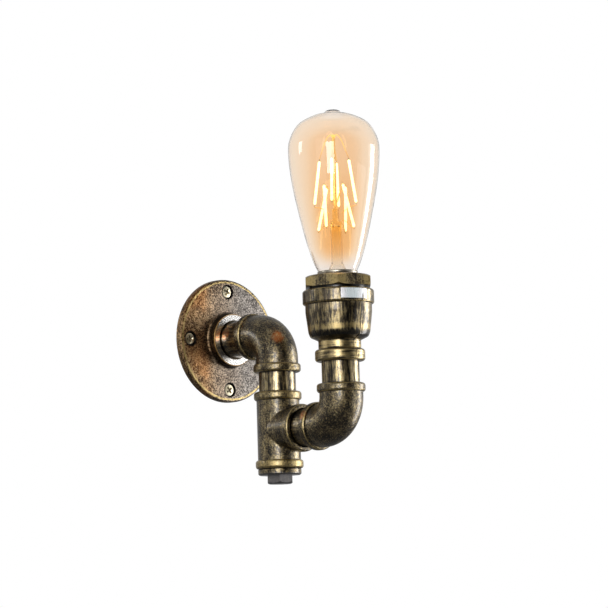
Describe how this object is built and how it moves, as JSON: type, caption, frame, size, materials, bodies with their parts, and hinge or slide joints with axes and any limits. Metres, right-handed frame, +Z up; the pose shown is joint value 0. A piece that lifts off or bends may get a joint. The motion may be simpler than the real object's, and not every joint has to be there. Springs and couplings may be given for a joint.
{
  "type": "wall light",
  "caption": "Wall light made of threaded pipe fittings: round flange, elbows, plugged tee and a bell-shaped socket that holds a screw-in filament bulb.",
  "frame": {"origin": "centre of the wall flange's flat back, on the wall plane and on the axis of the first pipe", "axes": "+Z up along the riser and the bulb; +Y into the wall, so the lamp reaches out along -Y; +X to the right as seen from the room"},
  "size_m": [0.09, 0.1816, 0.2595],
  "materials": {
    "cast_bronze": "cast, dark brown with brushed antique gold highlights",
    "pipe_bronze": "dark brown lacquer rubbed through to antique gold along the pipe",
    "screw_brass": "pale brass plating",
    "porcelain": "white porcelain",
    "contact_brass": "bright brass",
    "small_screws": "zinc plated",
    "brown_insulation": "brown insulation",
    "blue_insulation": "blue insulation",
    "earth_insulation": "green and yellow insulation",
    "block_plastic": "milky plastic",
    "amber_glass": "clear glass with an amber tint",
    "clear_glass": "clear glass",
    "cap_metal": "plated cap",
    "cap_glass": "black fused glass",
    "solder": "solder",
    "filament_glow": "coated LED filament, lit",
    "support_wire": "nickel wire",
    "board": "circuit board",
    "component": "black component bodies"
  },
  "bodies": {
    "fixture": {"wall_flange": "cast_bronze", "upper_elbow": "cast_bronze", "tee": "cast_bronze", "end_plug": "cast_bronze", "lower_elbow": "cast_bronze", "bell_reducer": "cast_bronze", "flange_nipple": "pipe_bronze", "drop_nipple": "pipe_bronze", "branch_nipple": "pipe_bronze", "riser_nipple": "pipe_bronze", "hex_bushing": "pipe_bronze", "wall_screws": "screw_brass", "holder_body": "porcelain", "holder_base": "porcelain", "screw_shell": "contact_brass", "centre_contact": "contact_brass", "live_terminal": "contact_brass", "neutral_terminal": "contact_brass", "contact_rivets": "contact_brass", "terminal_barrels": "contact_brass", "earth_tag": "contact_brass", "holder_screws": "small_screws", "terminal_screws": "small_screws", "earth_screw": "small_screws", "terminal_block_screws": "small_screws", "live_wire": "brown_insulation", "neutral_wire": "blue_insulation", "earth_wire": "earth_insulation", "terminal_block": "block_plastic"},
    "cap_tip": {"cap_contact": "solder", "cap_insulator": "cap_glass"},
    "bulb": {"bulb_glass": "amber_glass", "bulb_cap": "cap_metal", "bulb_stem": "clear_glass", "filaments": "filament_glow", "top_spider": "support_wire", "filament_wires": "support_wire", "driver_board": "board", "driver_parts": "component"}
  },
  "joints": [
    {"name": "bulb_lift", "type": "slide", "parent": "fixture", "child": "cap_tip", "axis": [0, 0, 1], "range_m": [0, 0.0182]},
    {"name": "bulb_screw", "type": "hinge", "parent": "cap_tip", "child": "bulb", "pos_m": [0, -0.1245, 0.03], "axis": [0, 0, 1], "range_deg": [0, 1800]}
  ],
  "couplings": [
    {"joint": "bulb_lift", "follows": "bulb_screw", "m_per_rad": 0.00057757}
  ]
}
